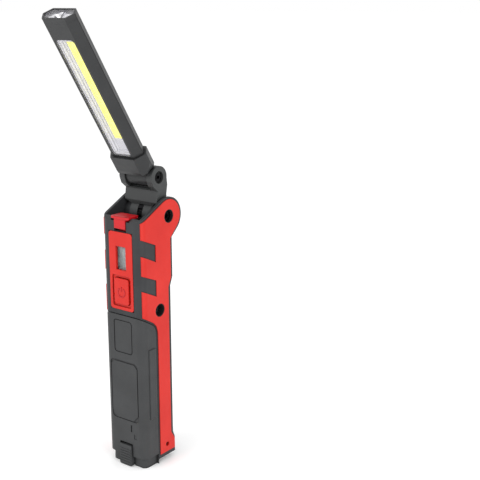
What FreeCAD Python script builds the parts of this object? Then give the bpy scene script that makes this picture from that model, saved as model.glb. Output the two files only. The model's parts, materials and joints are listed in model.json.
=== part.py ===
import FreeCAD, Part
import math
import os
import re
import Sketcher

# Folding work light: a handle with a slide-in battery, a link arm hinged
# between two ears, and a flat wand tilting in the link's fork.
# Frame: origin at the centre of the magnet foot's bottom face, +Z up,
# the control panel faces -Y and the bolt heads are on +X.

VEC = FreeCAD.Vector
doc = FreeCAD.newDocument("WorkLight")

DIMENSIONS = [
    ("body_width", 41.0, "width over the two side panels"),
    ("core_width", 40.0, "width of the black housing"),
    ("front_y", -32.0, "front face of the upper body"),
    ("low_back_y", 1.5, "back face of the lower body"),
    ("rail_back_y", 4.3, "back face of the two rails"),
    ("corner_round", 6.4, "radius of the front vertical corners"),
    ("base_z", 4.0, "underside of the housing"),
    ("seam_front_z", 127.0, "seam over the battery, at the front"),
    ("seam_back_z", 117.3, "seam over the battery, at the back"),
    ("front_top_z", 202.6, "top of the front wall"),
    ("pack_front_y", -32.5, "front face of the battery"),
    ("pack_back_y", -16.2, "back face of the battery"),
    ("pack_gap", 0.3, "gap between battery and housing"),
    ("fold_y", 0.8, "fold hinge axis"),
    ("fold_z", 202.2, "fold hinge axis"),
    ("ear_radius", 15.0, "outer radius of the ears"),
    ("tilt_y", 5.1, "tilt hinge axis"),
    ("tilt_z", 233.0, "tilt hinge axis"),
    ("pocket_width", 35.2, "gap between the ears and rails"),
    ("channel_y", -3.5, "floor of the channel down the back"),
    ("hub_radius", 11.0, "radius of the link's hub"),
    ("link_width", 21.0, "width of the link's hub and neck"),
    ("fork_width", 33.0, "width over the link's fork"),
    ("fork_radius", 8.7, "radius of the fork ears"),
    ("wand_face", 22.2, "width of the wand's flat faces"),
    ("wand_width", 31.2, "width of the wand over its ridges"),
    ("wand_depth", 13.0, "thickness of the wand"),
    ("wand_offset", -2.6, "wand centre line, ahead of the tilt axis"),
    ("wand_start", 15.0, "lower end of the wand, from the tilt axis"),
    ("wand_end", 145.0, "tip of the wand, from the tilt axis"),
    ("window_start", 26.7, "lower end of the lamp window"),
    ("window_end", 128.0, "upper end of the lamp window"),
    ("panel_half", 11.9, "half width of the control panel"),
    ("magnet_radius", 15.0, "radius of the magnet cup"),
]
LEAN_DEGREES = 18.5  # the link leans forward by this much at rest
TILT_DEGREES = 32.0  # the wand leans forward by this much at rest
VALUE = {name: value for name, value, note in DIMENSIONS}

sheet = doc.addObject("Spreadsheet::Sheet", "Dim")
for row, (alias, value, note) in enumerate(DIMENSIONS, start=1):
    sheet.set("A%d" % row, note)
    sheet.set("B%d" % row, str(value))
    sheet.setAlias("B%d" % row, alias)
doc.recompute()

WORD = re.compile(r"[a-z][a-z_]+")
EXPORTS = []


def linked(text):
    """Turns names of driving dimensions into references to the sheet."""
    return WORD.sub(lambda found: "Dim." + found.group(0), text)


def put(obj, path, value):
    """Sets one property: text is bound as an expression, a number is stored."""
    if isinstance(value, str):
        obj.setExpression(path, linked(value))
    else:
        obj.setExpression(path, repr(float(value)))


def number(value):
    """The present value of a size given as text or as a number."""
    if not isinstance(value, str):
        return float(value)
    sheet.set("D1", "=" + value)
    sheet.recompute()
    return float(sheet.get("D1"))


def move(obj, x=0, y=0, z=0):
    put(obj, "Placement.Base.x", x)
    put(obj, "Placement.Base.y", y)
    put(obj, "Placement.Base.z", z)
    return obj


def box(name, width, depth, height, x=None, y=0, z=0):
    """A block; centred on X unless its left side is given."""
    block = doc.addObject("Part::Box", name)
    put(block, "Length", width)
    put(block, "Width", depth)
    put(block, "Height", height)
    left = "-(%s)/2" % width if x is None else x
    return move(block, left, y, z)


TURN = {
    "z": FreeCAD.Rotation(),
    "x": FreeCAD.Rotation(VEC(0, 1, 0), 90),
    "y": FreeCAD.Rotation(VEC(1, 0, 0), -90),
}


def rod(name, axis, radius, length, x=0, y=0, z=0):
    """A cylinder running from the given point along one axis."""
    cylinder = doc.addObject("Part::Cylinder", name)
    put(cylinder, "Radius", radius)
    put(cylinder, "Height", length)
    cylinder.Placement.Rotation = TURN[axis]
    return move(cylinder, x, y, z)


def cone(name, axis, radius_one, radius_two, length, x=0, y=0, z=0):
    shape = doc.addObject("Part::Cone", name)
    put(shape, "Radius1", radius_one)
    put(shape, "Radius2", radius_two)
    put(shape, "Height", length)
    shape.Placement.Rotation = TURN[axis]
    return move(shape, x, y, z)


def outline(name, plane, points, length):
    """A body padded both ways from a closed outline on an origin plane."""
    body = doc.addObject("PartDesign::Body", name)
    sketch = body.newObject("Sketcher::SketchObject", name + "_sketch")
    face = [f for f in body.Origin.OriginFeatures if f.Role == plane][0]
    sketch.AttachmentSupport = [(face, "")]
    sketch.MapMode = "FlatFace"
    spots = [(number(u), number(v)) for u, v in points]
    count = len(spots)
    for i, (u, v) in enumerate(spots):
        end_u, end_v = spots[(i + 1) % count]
        sketch.addGeometry(Part.LineSegment(VEC(u, v, 0), VEC(end_u, end_v, 0)), False)
    for i in range(count):
        sketch.addConstraint(Sketcher.Constraint("Coincident", i, 2, (i + 1) % count, 1))
    for i, point in enumerate(points):
        for kind, size, spot in zip(("DistanceX", "DistanceY"), point, spots[i]):
            row = sketch.addConstraint(Sketcher.Constraint(kind, -1, 1, i, 1, spot))
            put(sketch, "Constraints[%d]" % row, size)
    pad = body.newObject("PartDesign::Pad", name + "_pad")
    pad.Profile = sketch
    put(pad, "Length", length)
    pad.Midplane = True
    body.Tip = pad
    return body


def profile(name, points, width, x=0):
    """Side profile, given as (Y, Z) pairs, spread evenly about X."""
    return move(outline(name, "YZ_Plane", points, width), x)


def column(name, points, bottom, top):
    """Plan outline, given as (X, Y) pairs, standing from bottom to top."""
    body = outline(name, "XY_Plane", points, "(%s) - (%s)" % (top, bottom))
    return move(body, z="((%s) + (%s))/2" % (top, bottom))


def cut(name, base, *tools):
    return join("Part::Cut", name, base, tools)


def common(name, base, *tools):
    return join("Part::Common", name, base, tools)


def join(kind, name, base, tools):
    """Applies one boolean; several tools are gathered in a fusion first."""
    result = doc.addObject(kind, name)
    result.Base = base
    if len(tools) == 1:
        result.Tool = tools[0]
    else:
        result.Tool = fuse(name + "_tools", *tools)
    return result


def fuse(name, *shapes):
    result = doc.addObject("Part::MultiFuse", name)
    result.Shapes = list(shapes)
    return result


def group(name, shapes):
    """Several like pieces kept as separate solids in one node."""
    result = doc.addObject("Part::Compound", name)
    result.Links = shapes
    return result


def mirrored(name, shape):
    result = doc.addObject("Part::Mirroring", name)
    result.Source = shape
    result.Normal = VEC(1, 0, 0)
    return result


def rounded(name, shape, radius, chosen):
    """Fillets the edges whose two end points both satisfy the test."""
    doc.recompute()
    size = number(radius)
    picked = []
    for index, edge in enumerate(shape.Shape.Edges, start=1):
        ends = [vertex.Point for vertex in edge.Vertexes]
        if chosen(ends[0], ends[-1]):
            picked.append((index, size, size))
    if not picked:
        raise ValueError("no edge to round on " + name)
    result = doc.addObject("Part::Fillet", name)
    result.Base = shape
    result.Edges = picked
    return result


def upright(corner_x, corner_y, slack=0.05):
    """Test for vertical edges at the corners |x|, y."""
    def test(one, two):
        same = abs(one.x - two.x) < slack and abs(one.y - two.y) < slack
        return same and abs(abs(one.x) - corner_x) < slack and abs(one.y - corner_y) < slack
    return test


def at(**spots):
    """Test for edges whose two ends share the given coordinates."""
    def test(one, two):
        for axis, value in spots.items():
            if abs(getattr(one, axis) - value) > 0.05 or abs(getattr(two, axis) - value) > 0.05:
                return False
        return True
    return test


def export(node, shape):
    shape.Label = node
    EXPORTS.append((node, shape))


def plan_slab(name, half_width, front, back, radius, top="240"):
    """Upright bar with rounded front corners, used to trim side profiles."""
    wide = "2*(%s)" % half_width
    bar = box(name + "_bar", wide, "(%s) - (%s)" % (back, front), top, y=front, z=-1)
    return rounded(name, bar, radius, upright(number(half_width), number(front)))


# ---------------------------------------------------------------- handle
FOLD = ("fold_y", "fold_z")


def handle_outline(grow):
    """Side outline of the housing; grow moves the whole front/back out."""
    front = "front_y - %s" % grow
    return [
        ("pack_back_y + pack_gap", "base_z"),
        ("pack_back_y + pack_gap", "seam_back_z"),
        (front, "seam_front_z"),
        (front, "front_top_z"),
        ("fold_y - 6.69", "fold_z + 13.42"),
        ("fold_y + 10.1", "fold_z - 11.1"),
        ("rail_back_y", 185.1),
        ("rail_back_y", 153.3),
        ("low_back_y", 146.4),
        ("low_back_y", 22.0),
        ("low_back_y + 2.1", 16.5),
        ("low_back_y + 2.1", "base_z"),
    ]


BOARD_POSTS = [(12.0, 136.0), (12.0, 170.5)]
CASE_SCREWS = [(-11.6, 129.4), (-6.0, 13.6), (-10.0, 172.0), (-7.0, 64.0)]
LOWER_HOLE = CASE_SCREWS[0]


def housing():
    """The black core, built whole and split down the middle."""
    side = profile("core_side", handle_outline("0"), "core_width")
    side = rounded(
        "core_corners",
        side,
        8.7,
        at(y=number("pack_back_y + pack_gap"), z=number("seam_back_z")),
    )
    side = rounded("core_brow", side, 3.0, at(y=VALUE["front_y"], z=VALUE["front_top_z"]))
    plan = plan_slab("core_plan", "core_width/2", "front_y", "30", "corner_round")
    trimmed = common("core_trim", side, plan)
    ears = rod("core_ears", "x", "ear_radius", "core_width", "-core_width/2", *FOLD)
    foot = rod("core_foot", "z", 15.6, 9.2, z="base_z")
    wedge_points = [(0, 13.0), (0, 26.0), (1.5, 26.0), (14.6, 13.9), (14.6, 13.0)]
    wedge = common(
        "core_wedge",
        profile("wedge_side", wedge_points, 29),
        rod("wedge_round", "z", 15.6, 14, z=12.5),
    )
    outer = fuse("core_outer", trimmed, ears, foot, wedge)
    hollow = [
        box("pocket", "pocket_width", 50, 40, y="front_y + 3.2", z=187.5),
        box("channel", "pocket_width", 30, 44, y="channel_y", z=144.5),
        box("bay", 34.8, 23.1, 55, y="front_y + 3.2", z=130.0),
        box("shaft", 34.8, 12.8, 92, y=-13.7, z=22.0),
        box("shaft_neck", 34.8, 8.0, 20, y=-13.7, z=112.0),
        box("panel_seat", "2*panel_half + 0.2", 2.4, 62.2, y="front_y - 0.4", z=130.9),
        box("panel_opening", 20.6, 4, 53, y="front_y + 1", z=132.5),
        box("lever_notch", 12.2, 4, 14, y="front_y - 0.5", z=193.4),
        box("lever_bed", 19.0, 6, 14, y="front_y - 1.5", z=201.4),
        box("terminal_opening", 22.4, 5.4, 14, y=-25.6, z=118.0),
        box("latch_notch", 7.6, 3, 8.0, y="pack_back_y", z=14.4),
        rod("cup_seat", "z", 15.1, 1.0, z="base_z"),
        rod("cup_screw_hole", "z", 1.5, 9, z="base_z"),
    ]
    shell = cut("core_shell", outer, *hollow)
    inner = [
        rod("ear_boss_right", "x", 8.6, 8.0, 11.2, *FOLD),
        rod("ear_boss_left", "x", 8.6, 8.0, -19.2, *FOLD),
        rod("spring_boss", "z", 3.8, 9.5, 0, -19.4, 178),
        box("rail_stem", 15.8, 2.6, 88, y=-18.3, z=20),
        box("rail_head", 19.8, 0.9, 88, y=-19.1, z=20),
        rod("cup_boss", "z", 4.0, 10, z=13),
    ]
    for i, (y, z) in enumerate(CASE_SCREWS):
        inner.append(rod("case_boss_%d" % i, "x", 6.2 if i == 0 else 3.4, 36, -18, y, z))
    for i, (x, z) in enumerate(BOARD_POSTS):
        for side_sign in (1, -1):
            name = "post_%d_%d" % (i, side_sign)
            inner.append(rod(name, "y", 2.2, 16.6, side_sign * x, -21.8, z))
    inside = common("core_inner", fuse("core_ribs", *inner), fuse("core_reach", outer,
                    box("rail_reach", 30, 5, 100, y=-20, z=15)))
    filled = fuse("core_filled", shell, inside)
    bores = [
        rod("fold_bore", "x", 3.0, 60, -30, *FOLD),
        rod("bolt_recess", "x", 5.3, 10, 14.9, *FOLD),
        rod("nut_recess", "x", 5.1, 10, -24.9, *FOLD),
        rod("lower_recess_right", "x", 5.3, 10, 14.7, *LOWER_HOLE),
        rod("lower_recess_left", "x", 5.1, 10, -24.7, *LOWER_HOLE),
        rod("spring_well", "z", 2.7, 12, 0, -19.4, 180.0),
        rod("cup_thread", "z", 1.5, 12, z="base_z"),
    ]
    for i, (y, z) in enumerate(CASE_SCREWS):
        bores.append(rod("case_bore_%d" % i, "x", 1.5, 26, -12, y, z))
        bores.append(rod("case_head_%d" % i, "x", 2.9, 8, 12.4, y, z))
    for i, (x, z) in enumerate(BOARD_POSTS):
        for side_sign in (1, -1):
            bores.append(rod("post_bore_%d_%d" % (i, side_sign), "y", 1.0, 9, side_sign * x, -22, z))
    return cut("core_bored", filled, *bores)


def panel_outline():
    """Side panel outline with the two slanted notches."""
    return [
        (-14.5, 7.2),
        (-14.5, 110.0),
        (-14.9, 113.5),
        (-16.3, 117.6),
        (-19.5, 121.0),
        (-29.9, 127.2),
        (-29.9, 148.4),
        (-15.2, 141.4),
        (-15.2, 154.4),
        (-29.9, 160.6),
        (-29.9, 176.0),
        (-15.2, 169.0),
        (-15.2, 182.4),
        (-29.9, 188.8),
        (-29.9, 201.4),
        ("fold_y - 5.98", "fold_z + 11.77"),
        ("fold_y + 9.6", "fold_z - 9.0"),
        ("rail_back_y - 2.2", 184.3),
        ("rail_back_y - 2.2", 152.6),
        ("low_back_y - 2.7", 145.7),
        ("low_back_y - 2.7", 22.4),
        ("low_back_y + 1.5", 15.8),
        ("low_back_y + 1.5", 7.2),
    ]


def side_panels():
    """Red panels let into the housing's sides, wrapping its front corners."""
    flat = profile("panel_side", panel_outline(), 60)
    disc = rod("panel_disc", "x", 13.2, 60, -30, *FOLD)
    shape = fuse("panel_shape", flat, disc)
    outer = plan_slab("panel_outer", "body_width/2", "front_y - 0.5", "40", "corner_round + 0.5")
    inner = plan_slab("panel_inner", "core_width/2 - 1.3", "front_y + 1.3", "50", "corner_round - 1.3")
    sleeve = cut("panel_sleeve", outer, inner)
    both = common("panel_both", shape, sleeve)
    right = common("panel_right_raw", both, box("panel_half_right", 20, 80, 260, x=10, y=-40, z=-5))
    holes = [
        rod("panel_ear_hole", "x", 5.3, 30, 5, *FOLD),
        rod("panel_low_hole", "x", 5.3, 30, 5, *LOWER_HOLE),
        rod("panel_foot_hole", "x", 1.9, 30, 5, *CASE_SCREWS[1]),
    ]
    return cut("panel_right_part", right, *holes)


core = housing()
panel_right = side_panels()
panel_left = mirrored("panel_left_part", panel_right)
panel_beds = fuse("panel_beds", panel_right, panel_left)
core_ready = cut("core_ready", core, panel_beds)
export("housing_right", common("housing_right", core_ready, box("half_right", 30, 90, 260, x=0, y=-45, z=-5)))
export("housing_left", common("housing_left", core_ready, box("half_left", 30, 90, 260, x=-30, y=-45, z=-5)))
export("side_panel_right", panel_right)
export("side_panel_left", panel_left)


def case_screw(name, y, z):
    head = rod(name + "_head", "x", 2.6, 2.0, 12.4, y, z)
    shank = rod(name + "_shank", "x", 1.45, 23, -10.5, y, z)
    drive = rod(name + "_drive", "x", 1.1, 2, 13.3, y, z)
    return cut(name, fuse(name + "_blank", head, shank), drive)


export("case_screws", group("case_screws", [
    case_screw("case_screw_%d" % i, y, z) for i, (y, z) in enumerate(CASE_SCREWS)]))


# ---------------------------------------------------------------- fold hinge
def hexagon(name, axis, across, length, x, y, z):
    """Hexagonal prism along X, across its flats."""
    side = across / math.sqrt(3)
    half = across / 2
    ring = [(side, 0), (side / 2, half), (-side / 2, half), (-side, 0), (-side / 2, -half), (side / 2, -half)]
    body = outline(name, axis, ring, length)
    return move(body, x, y, z)


bolt_blank = fuse(
    "bolt_blank",
    rod("bolt_shaft", "x", 2.95, 32.0, -16.6, *FOLD),
    rod("bolt_head", "x", 4.8, 2.6, 14.9, *FOLD),
)
bolt_socket = hexagon("bolt_socket", "YZ_Plane", 4.0, 3.0, 17.5, *FOLD)
export("pivot_bolt", cut("pivot_bolt", bolt_blank, bolt_socket))
nut_blank = hexagon("nut_blank", "YZ_Plane", 8.6, 3.0, -16.5, *FOLD)
export("pivot_nut", cut("pivot_nut", nut_blank, rod("nut_bore", "x", 2.95, 8, -20, *FOLD)))


def washer(name, radius, bore, thick, x, y, z):
    return cut(name, rod(name + "_disc", "x", radius, thick, x, y, z),
               rod(name + "_bore", "x", bore, thick + 2, x - 1, y, z))


export("hinge_washers", group("hinge_washers", [
    washer("hinge_washer_right", 6.5, 3.0, 0.5, 10.7, *FOLD),
    washer("hinge_washer_left", 6.5, 3.0, 0.5, -11.2, *FOLD)]))


# ---------------------------------------------------------------- magnet foot
export("magnet_cup", cut("magnet_cup", rod("cup_solid", "z", "magnet_radius", 3.2, z=1.8),
       rod("cup_pocket", "z", 13.6, 2.4, z=1.8), rod("cup_hole", "z", 1.6, 6, z=1)))
export("magnet_disc", cut("magnet_disc", rod("magnet_solid", "z", 13.5, 2.3, z=1.9),
       rod("magnet_hole", "z", 3.0, 6, z=1)))
export("magnet_pad", rounded("magnet_pad", rod("pad_disc", "z", 13.9, 1.8), 0.5,
       lambda one, two: one.z < 0.01 and two.z < 0.01))
export("magnet_screw", fuse("magnet_screw", rod("magnet_screw_head", "z", 2.8, 1.7, z=2.4),
       rod("magnet_screw_shank", "z", 1.45, 9, z=2.4)))


# ---------------------------------------------------------------- control side
def rounded_block(name, width, depth, height, y, z, radius):
    """Block centred on X with its four corners (seen from the front) rounded."""
    block = box(name + "_block", width, depth, height, y=y, z=z)
    def test(one, two):
        return abs(one.x - two.x) < 0.01 and abs(one.z - two.z) < 0.01
    return rounded(name, block, radius, test)


panel_plate = rounded_block("panel_plate", "2*panel_half", 2.3, 61.8, "front_y - 0.3", 131.1, 2.4)
export("control_panel", cut(
    "control_panel",
    panel_plate,
    box("lcd_hole", 10.2, 6, 18.6, y=-34, z=163.0),
    rounded_block("button_moat", 19.0, 2.0, 25.0, "front_y - 1.2", 133.6, 1.6),
    rounded_block("button_hole", 15.2, 6.0, 21.3, -34, 135.45, 2.0),
))
export("power_button", fuse(
    "power_button",
    rounded_block("button_face", 14.6, 3.2, 20.5, -32.7, 135.85, 1.8),
    box("button_flange", 17.0, 0.7, 22.9, y=-29.6, z=134.65),
    rod("button_stem", "y", 1.6, 0.4, 0, -28.95, 146.1),
))
export("display_window", box("display_window", 16, 0.8, 23.5, y=-29.95, z=160.5))
export("display_module", cut(
    "display_module",
    box("display_frame", 16, 5.7, 23.5, y=-29.1, z=160.5),
    box("display_view", 11.6, 0.3, 19.2, y=-29.1, z=162.7),
))

board_screw_spots = [(sign * x, z) for x, z in BOARD_POSTS for sign in (1, -1)]
board_holes = [rod("board_hole_%d" % i, "y", 1.15, 4, x, -24, z)
               for i, (x, z) in enumerate(board_screw_spots)]
board_plate = box("board_plate", 31, 1.6, 40.0, y=-23.4, z=133.5)
terminal_cut = box("board_terminal_cut", 16, 4, 2.6, y=-24, z=133.0)
export("control_board", cut("control_board", board_plate, terminal_cut, *board_holes))
export("board_screws", group("board_screws", [
    fuse("board_screw_%d" % i,
         rod("board_screw_head_%d" % i, "y", 1.9, 1.3, x, -24.7, z),
         rod("board_screw_shank_%d" % i, "y", 0.95, 7.4, x, -23.4, z))
    for i, (x, z) in enumerate(board_screw_spots)]))
export("tactile_switch", fuse(
    "tactile_switch",
    box("switch_body", 6, 3.3, 6, y=-26.7, z=143.1),
    rod("switch_plunger", "y", 1.7, 1.0, 0, -27.7, 146.1),
))
chips = [(-9.0, 146.0, 6.0, 5.0), (9.0, 148.0, 5.0, 5.0), (-10.0, 160.0, 4.0, 8.0), (10.5, 162.0, 4.0, 4.0)]
export("board_chips", group("board_chips", [
    box("chip_%d" % i, wide, 1.4, tall, x - wide / 2, -24.8, z)
    for i, (x, z, wide, tall) in enumerate(chips)]))
coil = rod("coil_core", "y", 4.2, 4.0, 0, -21.8, 156)
export("driver_coil", coil)

BLADES = (-7.0, 0.0, 7.0)
terminal_block = box("terminal_solid", 22, 5.0, 6.4, y=-25.4, z=125.4)
blade_slots = [box("blade_slot_%d" % i, 0.8, 3.0, 20, x - 0.4, -24.4, 115)
               for i, x in enumerate(BLADES)]
export("battery_terminal_block", cut("battery_terminal_block", terminal_block, *blade_slots))
export("terminal_blades", group("terminal_blades", [
    box("blade_%d" % i, 0.8, 3.0, 21.5, x - 0.4, -24.4, 112.5)
    for i, x in enumerate(BLADES)]))


# ---------------------------------------------------------------- lock lever
lever_pad = box("lever_pad", 18.0, 12.6, 1.8, y=-32.9, z=203.2)
lever_pad_soft = rounded("lever_pad_soft", lever_pad, 1.6,
                         lambda one, two: abs(one.z - two.z) > 1)
lever_neck = box("lever_neck", 11.4, 3.0, 9.6, y=-32.5, z=195.6)
lever_stem = box("lever_stem", 9.0, 3.0, 14.4, y=-28.4, z=189.8)
lever_foot = box("lever_foot", 4.4, 20.2, 2.0, y=-26.4, z=189.8)
lever_tip = box("lever_tip", 4.4, 2.4, 1.6, y=-8.6, z=191.7)
lever_cup = rod("lever_cup", "z", 3.6, 2.0, 0, -19.4, 189.8)
export("lock_lever", fuse("lock_lever", lever_pad_soft, lever_neck, lever_stem, lever_foot,
                          lever_tip, lever_cup))


def coil_spring(name, radius, wire, height, turns, x, y, z):
    """Round wire swept along a helix."""
    helix = doc.addObject("Part::Helix", name + "_helix")
    helix.Radius = radius
    helix.Height = height
    helix.Pitch = height / turns
    ring = doc.addObject("Part::Circle", name + "_wire")
    ring.Radius = wire
    ring.Placement = FreeCAD.Placement(VEC(radius, 0, 0), FreeCAD.Rotation(VEC(1, 0, 0), 90))
    sweep = doc.addObject("Part::Sweep", name)
    sweep.Sections = [ring]
    sweep.Spine = helix
    sweep.Solid = True
    sweep.Frenet = True
    return move(sweep, x, y, z)


export("lock_spring", coil_spring("lock_spring", 2.1, 0.3, 9.1, 6, 0, -19.4, 180.35))


# ---------------------------------------------------------------- battery
def pack_outline(inset):
    top_front = 126.7 - inset
    top_back = 116.9 - inset
    return [
        ("pack_back_y - %s" % inset, "0 + %s" % inset),
        ("pack_back_y - %s" % inset, top_back),
        ("pack_front_y + %s" % inset, top_front),
        ("pack_front_y + %s" % inset, "3.5 + %s" % inset),
        ("pack_front_y + 2.6 + %s" % inset, "0 + %s" % inset),
    ]


PACK_SPLIT = -20.4
LATCH_AXIS = (-29.6, 9.0)


def battery_case():
    side = profile("pack_side", pack_outline(0.0), 40)
    side = rounded("pack_shoulder", side, 9.0,
                   at(y=number("pack_back_y"), z=116.9))
    plan = plan_slab("pack_plan", 20.0, "pack_front_y", "pack_back_y", 6.6, "200")
    body = common("pack_trim", side, plan)
    grips = []
    for sign in (1, -1):
        grip = box("grip_%d" % sign, 2.0, 7.6, 58.5, 18.8 if sign > 0 else -20.8, -25.4, 41.5)
        grips.append(rounded("grip_soft_%d" % sign, grip, 0.7,
                             lambda one, two: abs(one.x) > 20.7 and abs(two.x) > 20.7))
    body = fuse("pack_gripped", body, *grips)
    cap_band = box("cap_band", 60, 16.4, 9.0, y="pack_front_y - 0.2", z=-0.2)
    cap_core = rounded("cap_core", box("cap_core_block", 35.6, 30, 12.0, y="pack_front_y + 2.2", z=-1),
                       4.6, upright(17.8, number("pack_front_y + 2.2")))
    front_cuts = [
        rounded_block("panel_low", 28.4, 1.0, 50.0, "pack_front_y - 0.4", 39.0, 3.6),
        rounded_block("panel_high", 19.0, 1.0, 27.0, "pack_front_y - 0.4", 95.6, 2.6),
        cut("cap_ring", cap_band, cap_core),
        box("mark_slot", 1.2, 1.2, 6.0, 5.4, -33.0, 30.0),
        box("mark_step", 3.0, 0.9, 4.0, 8.6, -33.0, 24.5),
    ]
    low_outline = [(-13.4, 45.0), (-13.4, 84.5), (-10.4, 87.6), (10.4, 87.6), (13.4, 84.5), (13.4, 45.0),
                   (8.6, 39.8), (-8.6, 39.8)]
    panels = [
        move(outline("panel_low_raise", "XZ_Plane", low_outline, 0.9), 0, "pack_front_y + 0.45"),
        rounded_block("panel_high_raise", 17.4, 0.8, 25.6, "pack_front_y + 0.1", 96.3, 1.9),
    ]
    body = cut("pack_stepped", body, *front_cuts)
    body = fuse("pack_faced", body, *panels)
    hollow = [
        box("cell_bay", 34.8, 10.3, 89.4, y=-31.0, z=23.6),
        box("slot_wide", 20.6, 1.5, 120, y=-19.4, z=17.6),
        box("slot_neck", 16.6, 2.4, 120, y=-18.0, z=17.6),
        box("latch_pocket", 13.4, 8.0, 20.0, y=-35.0, z=-0.6),
        box("latch_sweep", 13.4, 3.6, 19.4, y=-27.4, z=-0.6),
        box("tooth_slot", 7.0, 12.0, 8.2, y=-27.4, z=14.2),
        rod("pin_bore", "x", 1.0, 20, -10, *LATCH_AXIS),
    ]
    for i, x in enumerate(BLADES):
        hollow.append(box("blade_path_%d" % i, 2.6, 4.6, 20, x - 1.3, -25.2, 111.0))
    return cut("pack_hollow", body, *hollow)


pack = battery_case()
front_part = common("battery_case_front", pack, box("pack_front_half", 60, 30, 160, y=PACK_SPLIT - 30, z=-5))
back_part = common("battery_case_back", pack, box("pack_back_half", 60, 30, 160, y=PACK_SPLIT, z=-5))
PACK_SCREWS = [(sign * x, z) for x, z in ((18.45, 30.0), (18.45, 104.0)) for sign in (1, -1)]


def pack_screw_bores(tag):
    bores = [rod("%s_bore_%d" % (tag, i), "y", 0.75, 12, x, -27.5, z)
             for i, (x, z) in enumerate(PACK_SCREWS)]
    heads = [rod("%s_head_%d" % (tag, i), "y", 1.3, 6, x, -17.4, z)
             for i, (x, z) in enumerate(PACK_SCREWS)]
    return bores + heads


export("battery_case_front", cut("battery_front_bored", front_part, *pack_screw_bores("front")))
export("battery_case_back", cut("battery_back_bored", back_part, *pack_screw_bores("back")))
export("battery_screws", group("battery_screws", [
    fuse("battery_screw_%d" % i,
         rod("battery_screw_head_%d" % i, "y", 1.2, 0.8, x, -17.4, z),
         rod("battery_screw_shank_%d" % i, "y", 0.7, 9.0, x, -26.4, z))
    for i, (x, z) in enumerate(PACK_SCREWS)]))
export("battery_cells", group("battery_cells", [
    rounded("cell_%s" % tag, box("cell_block_%s" % tag, 16.4, 9.4, 79.0, x, -30.8, 24.0), 1.5,
            lambda one, two: abs(one.z - two.z) > 5)
    for tag, x in (("left", -16.9), ("right", 0.5))]))
export("cell_tabs", group("cell_tabs", [
    box("cell_tab_%d" % i, 4.0, 0.3, 3.0, x, -27, 103.0) for i, x in enumerate((-14.0, -6.0, 3.0, 11.0))]))
export("battery_board", box("battery_board", 33, 9.4, 1.4, y=-30.7, z=106.0))
clip_leaves = []
for i, x in enumerate(BLADES):
    for sign in (1, -1):
        clip_leaves.append(box("clip_%d_%d" % (i, sign), 0.35, 3.6, 9.0,
                               x + (0.45 if sign > 0 else -0.8), -24.7, 107.4))
export("battery_clips", group("battery_clips", clip_leaves))

latch_face = rounded_block("latch_face", 12.6, 5.6, 17.8, -34.0, 0.4, 1.4)
latch_ribs = [box("latch_rib_%d" % i, 11.0, 0.8, 1.0, y=-34.3, z=2.4 + 2.2 * i) for i in range(6)]
latch_tooth = box("latch_tooth", 6.2, 12.2, 2.6, y=-28.6, z=15.4)
latch_body = fuse("latch_body", latch_face, latch_tooth, *latch_ribs)
export("battery_latch", cut("battery_latch", latch_body,
                            rod("latch_bore", "x", 1.04, 30, -15, *LATCH_AXIS)))
export("latch_pin", rod("latch_pin", "x", 1.0, 20.0, -10.0, *LATCH_AXIS))


# ---------------------------------------------------------------- link arm
TILT = ("tilt_y", "tilt_z")


LEAN_COS = math.cos(math.radians(LEAN_DEGREES))
LEAN_SIN = math.sin(math.radians(LEAN_DEGREES))


def leaned(node, shape):
    """Turns a piece modelled upright about the fold axis to its rest lean."""
    holder = doc.addObject("Part::Compound", node + "_placed")
    holder.Links = [shape]
    holder.Placement.Rotation = FreeCAD.Rotation(VEC(1, 0, 0), LEAN_DEGREES)
    turn = (1 - LEAN_COS, LEAN_SIN)
    put(holder, "Placement.Base.y", "fold_y*%.6f + fold_z*%.6f" % turn)
    put(holder, "Placement.Base.z", "fold_z*%.6f - fold_y*%.6f" % turn)
    export(node, holder)


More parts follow.
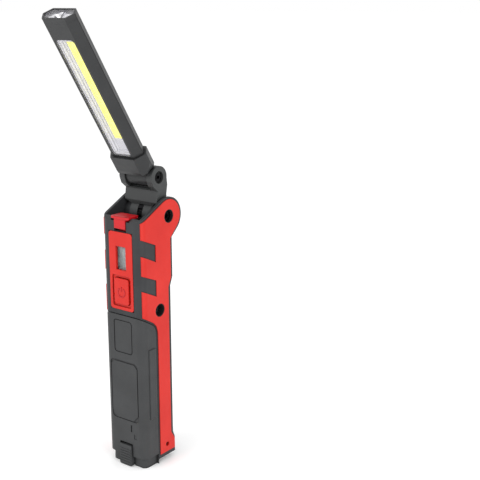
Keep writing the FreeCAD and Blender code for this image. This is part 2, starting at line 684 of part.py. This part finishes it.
def link_body():
    """Hub, waisted neck and fork, with a slot for the detent ring."""
    neck_points = [
        ("tilt_y - 9.4", "fold_z + 4.0"),
        ("tilt_y - 9.4", "tilt_z - 17.4"),
        ("tilt_y - 5.2", "tilt_z - 9.4"),
        ("tilt_y - 8.5", "tilt_z - 4.0"),
        ("tilt_y - 8.6", "tilt_z"),
        ("tilt_y + 8.6", "tilt_z"),
        ("tilt_y + 6.6", "tilt_z - 9.5"),
        ("tilt_y + 3.0", "tilt_z - 16.0"),
        ("tilt_y + 2.2", "fold_z + 4.0"),
    ]
    neck = profile("neck_side", neck_points, "fork_width")
    shoulders = outline("neck_front", "XZ_Plane", [
        ("-link_width/2", "fold_z - 2"),
        ("link_width/2", "fold_z - 2"),
        ("link_width/2", "tilt_z - 22"),
        ("link_width/2 + 1.6", "tilt_z - 19.6"),
        ("fork_width/2", "tilt_z - 17.4"),
        ("fork_width/2", "tilt_z + 12"),
        ("-fork_width/2", "tilt_z + 12"),
        ("-fork_width/2", "tilt_z - 17.4"),
        ("-link_width/2 - 1.6", "tilt_z - 19.6"),
        ("-link_width/2", "tilt_z - 22"),
    ], 60)
    neck = common("neck", neck, shoulders)
    hub = rod("hub", "x", "hub_radius", "link_width", "-link_width/2", *FOLD)
    ears = rod("fork_ears", "x", "fork_radius", "fork_width", "-fork_width/2", *TILT)
    solid = fuse("link_solid", neck, hub, ears)
    gap_disc = rod("fork_gap_disc", "x", 8.2, 22.4, -11.2, *TILT)
    gap = box("fork_gap", 22.4, 30, 30, y="tilt_y - 15", z="tilt_z - 1.0")
    gap_front = box("fork_gap_front", 22.4, 11.5, 12, y="tilt_y - 15", z="tilt_z - 7.9")
    slot = cut("ring_slot", rod("ring_slot_disc", "x", 11.5, 5.2, -2.6, *FOLD),
               rod("ring_slot_core", "x", 8.0, 5.2, -2.6, *FOLD))
    return cut(
        "link_cut",
        solid,
        gap_disc,
        gap,
        gap_front,
        slot,
        rod("link_fold_bore", "x", 3.02, 40, -20, *FOLD),
        rod("link_tilt_bore", "x", 2.0, 50, -25, *TILT),
        rod("link_screw_recess", "x", 4.8, 4, 13.6, *TILT),
        rod("link_nut_recess", "x", 4.6, 4, -17.6, *TILT),
    )


leaned("link_arm", link_body())
ring = cut("ring_blank", rod("ring_disc", "x", 10.9, 5.0, -2.5, *FOLD),
           rod("ring_bore", "x", 8.05, 9, -4.5, *FOLD))
notches = []
for step in range(12):
    angle = math.radians(30 * step + 40)
    y = "fold_y - %.4f" % (11.4 * math.sin(angle))
    z = "fold_z - %.4f" % (11.4 * math.cos(angle))
    notches.append(rod("notch_%d" % step, "x", 1.6, 9, -4.5, y, z))
leaned("detent_ring", cut("detent_ring", ring, *notches))

tilt_blank = fuse("tilt_blank", rod("tilt_shaft", "x", 1.95, 31.0, -15.6, *TILT),
                  rod("tilt_head", "x", 3.1, 1.6, 13.6, *TILT))
leaned("tilt_bolt", cut("tilt_bolt", tilt_blank,
       hexagon("tilt_socket", "YZ_Plane", 2.6, 2.4, 15.2, *TILT)))
leaned("tilt_nut", cut("tilt_nut", hexagon("tilt_nut_blank", "YZ_Plane", 7.0, 2.4, -14.9, *TILT),
       rod("tilt_nut_bore", "x", 1.95, 8, -19, *TILT)))
leaned("tilt_washers", group("tilt_washers", [
    washer("tilt_washer_right", 6.4, 2.0, 0.3, 10.9, *TILT),
    washer("tilt_washer_left", 6.4, 2.0, 0.3, -11.2, *TILT)]))


# ---------------------------------------------------------------- wand
def hex_section(shrink):
    """Flattened hexagon, shrunk inwards by the same amount all round."""
    slope = 0.72 * shrink
    return [
        ("-wand_face/2 + %s" % (slope * 0.6), "wand_offset - wand_depth/2 + %s" % shrink),
        ("wand_face/2 - %s" % (slope * 0.6), "wand_offset - wand_depth/2 + %s" % shrink),
        ("wand_width/2 - %s" % (slope * 1.7), "wand_offset"),
        ("wand_face/2 - %s" % (slope * 0.6), "wand_offset + wand_depth/2 - %s" % shrink),
        ("-wand_face/2 + %s" % (slope * 0.6), "wand_offset + wand_depth/2 - %s" % shrink),
        ("-wand_width/2 + %s" % (slope * 1.7), "wand_offset"),
    ]


def hex_bar(name, shrink, bottom, top):
    return column(name, hex_section(float(shrink)), bottom, top)


def tilted(node, shape):
    """Stands the piece on the tilt axis and leans it forward."""
    holder = doc.addObject("Part::Compound", node + "_placed")
    holder.Links = [shape]
    holder.Placement.Rotation = FreeCAD.Rotation(VEC(1, 0, 0), TILT_DEGREES)
    reach = (LEAN_COS, LEAN_SIN)
    put(holder, "Placement.Base.y", "fold_y + (tilt_y - fold_y)*%.6f - (tilt_z - fold_z)*%.6f" % reach)
    put(holder, "Placement.Base.z", "fold_z + (tilt_z - fold_z)*%.6f + (tilt_y - fold_y)*%.6f" % reach)
    export(node, holder)


collar_outer = hex_bar("collar_outer", -2.0, 9.6, 25.3)
collar_taper = profile("collar_taper", [(-10.6, 9.6), (-11.0, 12.0), (-14, 26), (9, 26),
                                        (6.2, 14.0), (6.2, 9.6)], 60)
collar_front = outline("collar_front", "XZ_Plane", [(-14.6, 9.5), (14.6, 9.5), (17.4, 16.0), (17.4, 24.3),
                       (16.4, 25.4), (-16.4, 25.4), (-17.4, 24.3), (-17.4, 16.0)], 60)
collar_sleeve = common("collar_sleeve", common("collar_side_trim", collar_outer, collar_taper), collar_front)
collar_barrel = rod("collar_barrel", "x", 7.5, 21.4, -10.7)
collar_web = box("collar_web", 21.4, 11.0, 9.8, y=-6.0, z=0)
collar_solid = fuse("collar_solid", collar_sleeve, collar_barrel, collar_web)
tilted("wand_collar", cut("wand_collar_body", collar_solid,
       hex_bar("collar_bore", -0.02, "wand_start", 30), rod("collar_tilt_bore", "x", 2.0, 40, -20)))


def long_edges(one, two):
    """Edges running the length of the wand."""
    return abs(one.x - two.x) < 0.01 and abs(one.y - two.y) < 0.01


def across_edges(one, two):
    """Edges running through the thickness of the wand."""
    return abs(one.x - two.x) < 0.01 and abs(one.z - two.z) < 0.01


shell_bar = rounded("shell_bar", hex_bar("shell_blank", 0, "wand_start", "wand_end - 4"), 1.0, long_edges)
shell_room = hex_bar("shell_room", 1.4, "wand_start - 2", "wand_end + 2")
shell_tube = cut("shell_tube", shell_bar, shell_room)
window_blank = box("window_blank", 18.0, 6.0, "window_end - window_start + 0.2",
                   y="wand_offset - wand_depth/2 - 3", z="window_start - 0.1")
window_hole = rounded("window_hole", window_blank, 3.2, across_edges)
front_side = box("front_side", 60, 30, 200, y="wand_offset - 30", z=-5)
back_side = box("back_side", 60, 30, 200, y="wand_offset", z=-5)
tilted("wand_front_shell", cut("wand_front_body",
       common("wand_front_half", shell_tube, front_side), window_hole))
WAND_SCREWS = (42.0, 116.0)
back_bosses = [rod("wand_boss_%d" % i, "y", 2.6, 2.7, 0, "wand_offset + 2.8", z)
               for i, z in enumerate(WAND_SCREWS)]
back_bores = [rod("wand_bore_%d" % i, "y", 0.85, 9, 0, "wand_offset + 1.0", z)
              for i, z in enumerate(WAND_SCREWS)]
back_heads = [rod("wand_recess_%d" % i, "y", 1.8, 3, 0, "wand_offset + 5.3", z)
              for i, z in enumerate(WAND_SCREWS)]
tilted("wand_back_shell", cut("wand_back_body", fuse("wand_back_full",
       common("wand_back_half", shell_tube, back_side), *back_bosses), *back_bores, *back_heads))
tilted("wand_screws", group("wand_screws", [
    fuse("wand_screw_%d" % i, rod("wand_screw_head_%d" % i, "y", 1.7, 1.0, 0, "wand_offset + 5.3", z),
         rod("wand_screw_shank_%d" % i, "y", 0.8, 4.2, 0, "wand_offset + 1.1", z))
    for i, z in enumerate(WAND_SCREWS)]))

tilted("wand_window", rounded("wand_window", box("wand_lens", 17.8, 1.1, "window_end - window_start",
       y="wand_offset - wand_depth/2 + 0.1", z="window_start"), 3.1, across_edges))
tray = box("tray", 17.8, 4.05, 100.9, y="wand_offset - 5.05", z=26.9)
trough = column("trough", [(-8.4, "wand_offset - 5.3"), (8.4, "wand_offset - 5.3"),
                (5.4, "wand_offset - 1.5"), (-5.4, "wand_offset - 1.5")], 28.4, 126.2)
tilted("wand_reflector", cut("wand_reflector_body", tray, trough,
       box("strip_slot", 9.4, 3, 84.4, y="wand_offset - 2", z=39.3)))
tilted("led_strip", box("led_strip", 9.0, 0.6, 84.0, y="wand_offset - 1.55", z=39.5))
tilted("led_board", box("led_board", 15.5, 1.0, 99.0, y="wand_offset - 0.95", z=28.0))
spreader = box("spreader", 17.0, 2.6, 99.0, y="wand_offset + 0.1", z=28.0)
spreader_holes = [rod("spreader_hole_%d" % i, "y", 0.85, 6, 0, "wand_offset", z)
                  for i, z in enumerate(WAND_SCREWS)]
tilted("heat_spreader", cut("heat_spreader", spreader, *spreader_holes))

tip_bar = rounded("tip_bar", hex_bar("tip_outer", 0, "wand_end - 4", "wand_end"), 1.0, long_edges)
tip_tube = cut("tip_tube", tip_bar,
               hex_bar("tip_room", 1.4, "wand_end - 6", "wand_end + 2"))
tilted("tip_ring", tip_tube)
tilted("tip_lens", hex_bar("tip_lens", 1.45, "wand_end - 1.8", "wand_end - 0.4"))
tip_cup = cone("tip_cup", "z", 1.9, 4.6, 6.6, 0, "wand_offset", "wand_end - 8.4")
tilted("tip_reflector", cut("tip_reflector",
       hex_bar("tip_block", 1.5, "wand_end - 8.4", "wand_end - 1.85"), tip_cup))
tilted("tip_led", rod("tip_led", "z", 1.7, 1.0, 0, "wand_offset", "wand_end - 8.4"))
tilted("tip_led_board", hex_bar("tip_led_board", 1.5, "wand_end - 10.0", "wand_end - 8.45"))


# ---------------------------------------------------------------- checks, export
doc.recompute()
for thing in doc.Objects:
    if "Invalid" in thing.State or "Error" in thing.State:
        raise RuntimeError("bad feature: %s %s" % (thing.Name, thing.State))
os.makedirs("parts", exist_ok=True)
for node, shape in EXPORTS:
    if shape.Shape.isNull() or not shape.Shape.isValid() or not shape.Shape.Solids:
        raise RuntimeError("bad shape: " + node)
for node, shape in EXPORTS:
    shape.Shape.exportStep("parts/%s.step" % node)
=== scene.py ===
import json
import math

import bmesh
import bpy
from mathutils import Matrix, Vector


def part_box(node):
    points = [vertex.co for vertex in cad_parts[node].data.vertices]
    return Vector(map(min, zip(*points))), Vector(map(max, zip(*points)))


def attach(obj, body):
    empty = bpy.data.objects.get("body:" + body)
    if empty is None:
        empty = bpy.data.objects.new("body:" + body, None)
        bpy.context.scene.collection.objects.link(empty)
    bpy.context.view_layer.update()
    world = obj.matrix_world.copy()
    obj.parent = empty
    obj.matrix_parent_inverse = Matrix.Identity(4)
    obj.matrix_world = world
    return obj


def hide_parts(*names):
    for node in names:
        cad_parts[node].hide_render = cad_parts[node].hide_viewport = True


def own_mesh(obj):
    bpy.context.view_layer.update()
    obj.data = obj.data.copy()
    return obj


# Folding work light: looks of the CAD pieces, fine detail pieces, light and camera.

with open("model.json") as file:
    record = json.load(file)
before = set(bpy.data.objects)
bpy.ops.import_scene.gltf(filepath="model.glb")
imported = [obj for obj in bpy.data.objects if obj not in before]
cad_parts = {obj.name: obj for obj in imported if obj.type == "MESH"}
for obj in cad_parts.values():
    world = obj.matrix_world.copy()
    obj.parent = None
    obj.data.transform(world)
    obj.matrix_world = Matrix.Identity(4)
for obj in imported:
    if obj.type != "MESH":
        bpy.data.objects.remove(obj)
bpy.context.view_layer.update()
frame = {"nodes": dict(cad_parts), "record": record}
NODES = frame["nodes"]
MM = 0.001

# ------------------------------------------------------------------ sizes, in mm
WAND_OFFSET = -2.6
TILT_AXIS = Vector((0.0, -4.895, 232.773)) * MM
WAND_LEAN = math.radians(32.0)
WAND_FRAME = Matrix.Translation(TILT_AXIS) @ Matrix.Rotation(WAND_LEAN, 4, "X")

# on/off mark on the button
MARK_RADIUS = 3.6
MARK_HALF_WIDTH = 0.42
MARK_SINK = 0.3
MARK_RISE = 0.22
MARK_START = 125
MARK_SWEEP = 290
MARK_STEPS = 24

# parting line along the wand's ridges
SEAM_INNER = 14.9
SEAM_OUTER = 15.52
SEAM_HALF = 0.28
SEAM_START = 25.6
SEAM_END = 144.4

# near-black sleeves in the side holes, painted shade: label, y, z, inner end
SIDE_HOLES = (("upper", 0.8, 202.2, 17.7), ("lower", -11.6, 129.4, 15.0))
SLEEVE_OUTER = 5.27
SLEEVE_BORE = 4.85
SLEEVE_FACE = 20.35
SLEEVE_STEPS = 40

# camera, in metres and degrees
CAMERA_PLACE = (0.4797, -0.5293, 0.3617)
CAMERA_AZIMUTH = 36.42
CAMERA_ELEVATION = 14.32
CAMERA_LENS = 69.9
LAMP_POWER = 6.5
FLOOR_HALF = 30.0


# ------------------------------------------------------------------ materials
def srgb(hex_code):
    """Linear colour from a hex code."""
    out = []
    for i in (1, 3, 5):
        c = int(hex_code[i:i + 2], 16) / 255
        c = c / 12.92 if c <= 0.04045 else ((c + 0.055) / 1.055) ** 2.4
        out.append(c)
    return (*out, 1.0)


class Paint:
    """Small helper around one node material."""

    def __init__(self, name, **fixed):
        self.material = bpy.data.materials.new(name)
        self.material.use_nodes = True
        self.tree = self.material.node_tree
        self.shader = self.tree.nodes["Principled BSDF"]
        for socket, value in fixed.items():
            self.shader.inputs[socket.replace("_", " ")].default_value = value
        place = self.tree.nodes.new("ShaderNodeTexCoord")
        self.coords = place.outputs["Object"]

    def soft_edges(self, radius):
        """Normal that rounds the sharp edges, as a mould does."""
        node = self.tree.nodes.new("ShaderNodeBevel")
        node.samples = 6
        node.inputs["Radius"].default_value = radius
        return node.outputs["Normal"]

    def link(self, source, target):
        self.tree.links.new(source, target)

    def noise(self, scale, detail=3.0, rough=0.55, stretch=None):
        texture = self.tree.nodes.new("ShaderNodeTexNoise")
        texture.inputs["Scale"].default_value = scale
        texture.inputs["Detail"].default_value = detail
        texture.inputs["Roughness"].default_value = rough
        if stretch:
            mapping = self.tree.nodes.new("ShaderNodeMapping")
            mapping.inputs["Scale"].default_value = stretch
            self.link(self.coords, mapping.inputs["Vector"])
            self.link(mapping.outputs["Vector"], texture.inputs["Vector"])
        else:
            self.link(self.coords, texture.inputs["Vector"])
        return texture.outputs["Fac"]

    def painted_crevice_shade(self, colour, reach):
        """Colour darkened with painted shade in grooves and gaps, where shade gathers."""
        node = self.tree.nodes.new("ShaderNodeAmbientOcclusion")
        node.samples = 8
        node.inputs["Distance"].default_value = reach
        self.link(colour, node.inputs["Color"])
        return node.outputs["Color"]

    def spread(self, source, low, high, start=0.3, end=0.7):
        node = self.tree.nodes.new("ShaderNodeMapRange")
        node.inputs["From Min"].default_value = start
        node.inputs["From Max"].default_value = end
        node.inputs["To Min"].default_value = low
        node.inputs["To Max"].default_value = high
        self.link(source, node.inputs["Value"])
        return node.outputs["Result"]

    def blend(self, factor, one, two):
        node = self.tree.nodes.new("ShaderNodeMix")
        node.data_type = "RGBA"
        self.link(factor, node.inputs["Factor"])
        node.inputs["A"].default_value = one
        node.inputs["B"].default_value = two
        return node.outputs["Result"]

    def bump(self, height, strength, distance, below=None):
        node = self.tree.nodes.new("ShaderNodeBump")
        node.inputs["Strength"].default_value = strength
        node.inputs["Distance"].default_value = distance
        self.link(height, node.inputs["Height"])
        if below is not None:
            self.link(below, node.inputs["Normal"])
        return node.outputs["Normal"]

    def finish_with(self, colour=None, rough=None, normal=None):
        if colour is not None:
            self.link(colour, self.shader.inputs["Base Color"])
        if rough is not None:
            self.link(rough, self.shader.inputs["Roughness"])
        if normal is not None:
            self.link(normal, self.shader.inputs["Normal"])
        return self.material


def moulded(name, dark, light, rough=(0.38, 0.5), grain=0.25, grain_scale=2600.0,
             edge=0.00045, reach=0.0022, **fixed):
    """Moulded plastic: slow tone drift, fine spark-eroded grain, uneven gloss, painted shade darkening
    grooves and gaps.
    """
    paint = Paint(name, **fixed)
    drift = paint.noise(38.0, 4.0)
    fine = paint.noise(grain_scale, 2.0)
    wear = paint.noise(210.0, 6.0, 0.7)
    # tone drift of the plastic, darkened with painted shade in grooves and gaps
    colour = paint.painted_crevice_shade(paint.blend(paint.spread(drift, 0.0, 1.0), dark, light), reach)
    gloss = paint.spread(wear, rough[0], rough[1])
    normal = paint.bump(fine, grain, 0.00006, paint.soft_edges(edge))
    normal = paint.bump(drift, 0.06, 0.0006, normal)
    return paint.finish_with(colour, gloss, normal)


def metal(name, dark, light, rough=(0.2, 0.34), stretch=(1.0, 1.0, 1.0), scale=900.0, **fixed):
    """Metal with fine directional scratches and a little tarnish."""
    paint = Paint(name, Metallic=1.0, **fixed)
    streak = paint.noise(scale, 3.0, 0.6, stretch)
    stain = paint.noise(140.0, 5.0, 0.65)
    colour = paint.blend(paint.spread(stain, 0.0, 1.0), dark, light)
    gloss = paint.spread(streak, rough[0], rough[1])
    return paint.finish_with(colour, gloss, paint.bump(streak, 0.12, 0.00004))


RED = moulded("red_shell", srgb("#BC1B11"), srgb("#C8251B"), (0.36, 0.48), 0.12, Specular_IOR_Level=0.28,
              reach=0.0012)
LEVER = moulded("red_lever", srgb("#B00410"), srgb("#C00A16"), (0.3, 0.42), 0.12, Specular_IOR_Level=0.35,
                reach=0.0012)
BLACK = moulded("black_shell", srgb("#2B2C2E"), srgb("#333436"), (0.4, 0.54), 0.26, Specular_IOR_Level=0.25)
GREY = moulded("battery_shell", srgb("#353637"), srgb("#3C3D3E"), (0.42, 0.56), 0.28, Specular_IOR_Level=0.22)
LINK = moulded("link_shell", srgb("#303132"), srgb("#383A3A"), (0.42, 0.56), 0.3, 1900.0,
               Specular_IOR_Level=0.35)
WAND = moulded("wand_shell", srgb("#262728"), srgb("#2D2E2F"), (0.36, 0.5), 0.18, Specular_IOR_Level=0.32)
# near-black finish: painted shade in the side holes, and the dark parting lines of the wand
SHADOW = moulded("recess_shade_and_seam_black", srgb("#0E0E0F"), srgb("#151516"), (0.55, 0.7), 0.2)
RUBBER = moulded("foot_rubber", srgb("#141415"), srgb("#1C1C1D"), (0.7, 0.85), 0.4, 1400.0)
CHIP = moulded("chip_resin", srgb("#141414"), srgb("#1D1D1E"), (0.5, 0.65), 0.3)
DARK_STEEL = metal("dark_steel", srgb("#151516"), srgb("#222224"), (0.34, 0.5))
STEEL = metal("bright_steel", srgb("#A9AAAE"), srgb("#C6C7CA"), (0.2, 0.34))
NICKEL = metal("nickel", srgb("#E4E4E8"), srgb("#F4F4F6"), (0.1, 0.2), (1, 1, 6), 500.0)
FERRITE = metal("ferrite", srgb("#5A5A5E"), srgb("#6A6A6E"), (0.4, 0.6))
BRASS = metal("contact_brass", srgb("#C49A4A"), srgb("#D9B162"), (0.2, 0.34))
ALUMINIUM = metal("aluminium_bar", srgb("#B9BCC0"), srgb("#CED0D3"), (0.24, 0.4), (8, 1, 1), 700.0)
CHROME = metal("torch_chrome", srgb("#CFCFD2"), srgb("#EDEDF0"), (0.05, 0.14), (1, 1, 1), 260.0)
BOARD = moulded("board_green", srgb("#0B3B1A"), srgb("#125427"), (0.25, 0.4), 0.1)
BOARD_WHITE = moulded("board_white", srgb("#D9D9D4"), srgb("#EAEAE6"), (0.3, 0.45), 0.1)
CELL = moulded("cell_wrap", srgb("#123A6B"), srgb("#184A86"), (0.2, 0.32), 0.05)


def reflector_paint():
    """Pale plated tray with fine steps running the length of the wand, with painted shade in darker bands on
    the steps.
    """
    paint = Paint("reflector_white", Specular_IOR_Level=0.5)
    drift = paint.noise(90.0, 3.0)
    fine = paint.noise(1800.0, 2.0)
    steps = paint.tree.nodes.new("ShaderNodeTexWave")
    steps.bands_direction = "X"
    steps.inputs["Scale"].default_value = 240.0
    paint.link(paint.coords, steps.inputs["Vector"])
    pale = paint.blend(paint.spread(drift, 0.0, 1.0), srgb("#CBCAD2"), srgb("#E2E2E6"))
    # darker grey bands along the steps are painted shade
    shade = paint.tree.nodes.new("ShaderNodeMix")
    shade.data_type = "RGBA"
    shade.inputs["A"].default_value = srgb("#8E8E92")
    paint.link(paint.spread(steps.outputs["Fac"], 0.25, 1.0, 0.1, 0.6), shade.inputs["Factor"])
    paint.link(pale, shade.inputs["B"])
    gloss = paint.spread(fine, 0.28, 0.4)
    normal = paint.bump(steps.outputs["Fac"], 0.25, 0.00015)
    return paint.finish_with(shade.outputs["Result"], gloss,
                             paint.bump(fine, 0.06, 0.00004, normal))


def strip_paint():
    """Phosphor strip: yellow gel with faint chips showing through, with a faint painted glow."""
    # faint emission in the strip's own colour: a painted glow
    paint = Paint("phosphor", Emission_Strength=0.3, Specular_IOR_Level=0.4)
    fine = paint.noise(700.0, 3.0)
    dots = paint.tree.nodes.new("ShaderNodeTexVoronoi")
    dots.inputs["Scale"].default_value = 620.0
    paint.link(paint.coords, dots.inputs["Vector"])
    speckle = paint.spread(dots.outputs["Distance"], 0.0, 1.0, 0.1, 0.6)
    colour = paint.blend(speckle, srgb("#EDE63A"), srgb("#FBF56A"))
    paint.link(colour, paint.shader.inputs["Emission Color"])
    return paint.finish_with(colour, paint.spread(fine, 0.25, 0.4), paint.bump(fine, 0.2, 0.00008))


def clear_paint(name, tint, see_through, rough):
    """Thin clear window: mostly see-through, with faint haze and gloss."""
    paint = Paint(name, IOR=1.4, Specular_IOR_Level=0.4)
    haze = paint.noise(160.0, 3.0)
    colour = paint.blend(paint.spread(haze, 0.0, 1.0), tint, srgb("#FFFFFF"))
    paint.link(paint.spread(haze, 1 - see_through, 1.03 - see_through), paint.shader.inputs["Alpha"])
    return paint.finish_with(colour, paint.spread(haze, rough, rough + 0.04), paint.bump(haze, 0.02, 0.0001))


def display_paint():
    """Grey liquid-crystal film with a soft vertical sheen."""
    paint = Paint("display_film", Specular_IOR_Level=0.5)
    drift = paint.noise(60.0, 3.0)
    fine = paint.noise(1500.0, 2.0)
    colour = paint.blend(paint.spread(drift, 0.0, 1.0), srgb("#5E6D6E"), srgb("#707F80"))
    return paint.finish_with(colour, paint.spread(fine, 0.2, 0.32), paint.bump(fine, 0.08, 0.00004))


REFLECTOR = reflector_paint()
STRIP = strip_paint()
CLEAR = clear_paint("lamp_clear", srgb("#E9E8F4"), 0.93, 0.05)
DISPLAY_CLEAR = clear_paint("display_clear", srgb("#3E4848"), 0.9, 0.3)
DISPLAY = display_paint()

FINISH = {
    "black_plastic": BLACK, "battery_plastic": GREY, "red_plastic": RED, "lever_red": LEVER,
    "wand_plastic": WAND, "link_plastic": LINK, "dark_steel": DARK_STEEL, "bright_steel": STEEL,
    "nickel": NICKEL, "magnet": FERRITE, "rubber": RUBBER, "reflector_white": REFLECTOR,
    "reflector_chrome": CHROME, "lamp_clear": CLEAR, "display_clear": DISPLAY_CLEAR,
    "display_grey": DISPLAY, "led_yellow": STRIP, "board_green": BOARD, "board_white": BOARD_WHITE,
    "chip_black": CHIP, "aluminium_bar": ALUMINIUM, "contact_brass": BRASS, "cell_wrap": CELL,
}
for entry in frame["record"]["subparts"]:
    thing = NODES[entry["node"]]
    thing.data.materials.clear()
    thing.data.materials.append(FINISH[entry["material_slot"]])



# ------------------------------------------------------------------ detail pieces
def piece(name, verts, faces, paint, body, frame_matrix=None):
    """Make one small piece from millimetre points and let it ride a body."""
    mesh = bpy.data.meshes.new(name)
    mesh.from_pydata([Vector(v) * MM for v in verts], [], faces)
    if frame_matrix is not None:
        mesh.transform(frame_matrix)
    mesh.update()
    tool = bmesh.new()
    tool.from_mesh(mesh)
    bmesh.ops.recalc_face_normals(tool, faces=tool.faces)
    tool.to_mesh(mesh)
    tool.free()
    mesh.materials.append(paint)
    obj = bpy.data.objects.new(name, mesh)
    bpy.context.scene.collection.objects.link(obj)
    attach(obj, body)
    return obj


def block(low, high):
    """Corner points and faces of a box."""
    verts = [(x, y, z) for x in (low[0], high[0]) for y in (low[1], high[1]) for z in (low[2], high[2])]
    faces = [(0, 1, 3, 2), (4, 6, 7, 5), (0, 4, 5, 1), (2, 3, 7, 6), (0, 2, 6, 4), (1, 5, 7, 3)]
    return verts, faces


def sweep_rings(rings, closed):
    """Join equal rings of points into a tube; open tubes get end faces."""
    count = len(rings[0])
    verts = [point for ring in rings for point in ring]
    faces = []
    spans = len(rings) if closed else len(rings) - 1
    for i in range(spans):
        here = i * count
        there = ((i + 1) % len(rings)) * count
        for k in range(count):
            j = (k + 1) % count
            faces.append((here + k, here + j, there + j, there + k))
    if not closed:
        faces.append(tuple(range(count)))
        faces.append(tuple(reversed(range(len(verts) - count, len(verts)))))
    return verts, faces


def surface_y(node, x, z):
    """Front surface of a node, in millimetres, at a point seen from the front."""
    thing = NODES[node]
    inverse = thing.matrix_world.inverted()
    start = inverse @ Vector((x * MM, -0.2, z * MM))
    hit, place, _, _ = thing.ray_cast(start, (inverse.to_3x3() @ Vector((0, 1, 0))).normalized())
    return (thing.matrix_world @ place).y / MM if hit else None


def power_symbol():
    """Raised generic on/off mark on the push button."""
    low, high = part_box("power_button")
    mid_z = (low[2] + high[2]) / 2 / MM - 1.0
    rings = []
    for i in range(MARK_STEPS + 1):
        angle = math.radians(MARK_START + MARK_SWEEP * i / MARK_STEPS)
        out = Vector((math.cos(angle), 0, math.sin(angle)))
        face = surface_y("power_button", out.x * MARK_RADIUS, mid_z + out.z * MARK_RADIUS)
        ring = []
        for dr, dy in ((-MARK_HALF_WIDTH, MARK_SINK), (-MARK_HALF_WIDTH, -MARK_RISE),
                       (MARK_HALF_WIDTH, -MARK_RISE), (MARK_HALF_WIDTH, MARK_SINK)):
            reach = MARK_RADIUS + dr
            ring.append((out.x * reach, face + dy, mid_z + out.z * reach))
        rings.append(ring)
    verts, faces = sweep_rings(rings, False)
    piece("power_arc", verts, faces, LEVER, "button")
    face = surface_y("power_button", 0.0, mid_z + 3.0)
    verts, faces = block((-MARK_HALF_WIDTH, face - MARK_RISE, mid_z + 1.0),
                         (MARK_HALF_WIDTH, face + MARK_SINK, mid_z + 4.4))
    piece("power_bar", verts, faces, LEVER, "button")


def wand_seams():
    """Dark parting line between the two wand shells, on each side ridge."""
    for name, sign in (("wand_seam_right", 1), ("wand_seam_left", -1)):
        ends = sorted((sign * SEAM_INNER, sign * SEAM_OUTER))
        low = (ends[0], -SEAM_HALF, SEAM_START)
        high = (ends[1], SEAM_HALF, SEAM_END)
        verts, faces = block(low, high)
        offset = Matrix.Translation(Vector((0.0, WAND_OFFSET, 0.0)) * MM)
        piece(name, verts, faces, SHADOW, "wand", WAND_FRAME @ offset)


def painted_hole_shade_sleeves():
    """Near-black sleeves in the side holes of the red panels: painted shade that darkens the holes."""
    for label, y, z, inner in SIDE_HOLES:
        for side, sign in (("right", 1), ("left", -1)):
            rings = []
            for i in range(SLEEVE_STEPS):
                angle = 2 * math.pi * i / SLEEVE_STEPS
                ring = []
                for x, radius in ((inner, SLEEVE_OUTER), (SLEEVE_FACE, SLEEVE_OUTER),
                                  (SLEEVE_FACE, SLEEVE_BORE), (inner, SLEEVE_BORE)):
                    ring.append((sign * x, y + radius * math.cos(angle), z + radius * math.sin(angle)))
                rings.append(ring)
            verts, faces = sweep_rings(rings, True)
            piece("hole_shade_sleeve_%s_%s" % (label, side), verts, faces, SHADOW, "handle")


def lock_coil():
    """The lever's spring, copied from the CAD spring to ride the handle."""
    source = NODES["lock_spring"]
    coil = bpy.data.objects.new("lock_coil", source.data.copy())
    bpy.context.scene.collection.objects.link(coil)
    coil.matrix_world = source.matrix_world.copy()
    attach(coil, "handle")
    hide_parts("lock_spring")
    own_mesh(coil)


power_symbol()
wand_seams()
painted_hole_shade_sleeves()
lock_coil()


# ------------------------------------------------------------------ light and camera
def aim(obj, target):
    obj.rotation_mode = "QUATERNION"
    obj.rotation_quaternion = (Vector(target) - obj.location).to_track_quat("-Z", "Y")


def lamp(name, place, target, size):
    light = bpy.data.lights.new(name, "AREA")
    light.shape = "RECTANGLE"
    light.size = size[0]
    light.size_y = size[1]
    light.energy = LAMP_POWER
    obj = bpy.data.objects.new(name, light)
    bpy.context.scene.collection.objects.link(obj)
    obj.location = place
    aim(obj, target)


def studio():
    world = bpy.data.worlds.new("studio")
    world.use_nodes = True
    sky = world.node_tree.nodes["Background"]
    sky.inputs["Color"].default_value = (1.0, 1.0, 1.0, 1.0)
    sky.inputs["Strength"].default_value = 1.0
    bpy.context.scene.world = world
    lamp("key", (-0.35, -1.2, 0.9), (0, 0, 0.17), (0.7, 0.9))
    lamp("side", (1.3, -0.35, 0.5), (0, 0, 0.15), (0.6, 1.0))
    mesh = bpy.data.meshes.new("floor")
    half = FLOOR_HALF
    corners = [(-half, -half, 0), (half, -half, 0), (half, half, 0), (-half, half, 0)]
    mesh.from_pydata(corners, [], [(0, 1, 2, 3)])
    floor = bpy.data.objects.new("floor", mesh)
    bpy.context.scene.collection.objects.link(floor)
    paint = Paint("floor_paint", Specular_IOR_Level=0.0, Emission_Color=(1.0, 1.0, 1.0, 1.0),
                  Emission_Strength=0.07)
    fine = paint.noise(30.0, 2.0)
    mesh.materials.append(paint.finish_with(
        paint.blend(paint.spread(fine, 0.0, 1.0), (0.95, 0.95, 0.95, 1), (0.97, 0.97, 0.97, 1)),
        paint.spread(fine, 0.8, 0.9)))


def camera():
    data = bpy.data.cameras.new("camera")
    data.lens = CAMERA_LENS
    data.sensor_width = 36.0
    data.clip_start = 0.05
    data.clip_end = 100.0
    obj = bpy.data.objects.new("camera", data)
    bpy.context.scene.collection.objects.link(obj)
    azimuth = math.radians(CAMERA_AZIMUTH)
    elevation = math.radians(CAMERA_ELEVATION)
    back = Vector((math.sin(azimuth) * math.cos(elevation),
                   -math.cos(azimuth) * math.cos(elevation),
                   math.sin(elevation)))
    obj.location = Vector(CAMERA_PLACE)
    obj.rotation_mode = "QUATERNION"
    obj.rotation_quaternion = (-back).to_track_quat("-Z", "Y")
    bpy.context.scene.camera = obj


studio()
camera()
bpy.context.scene.view_settings.view_transform = "Standard"
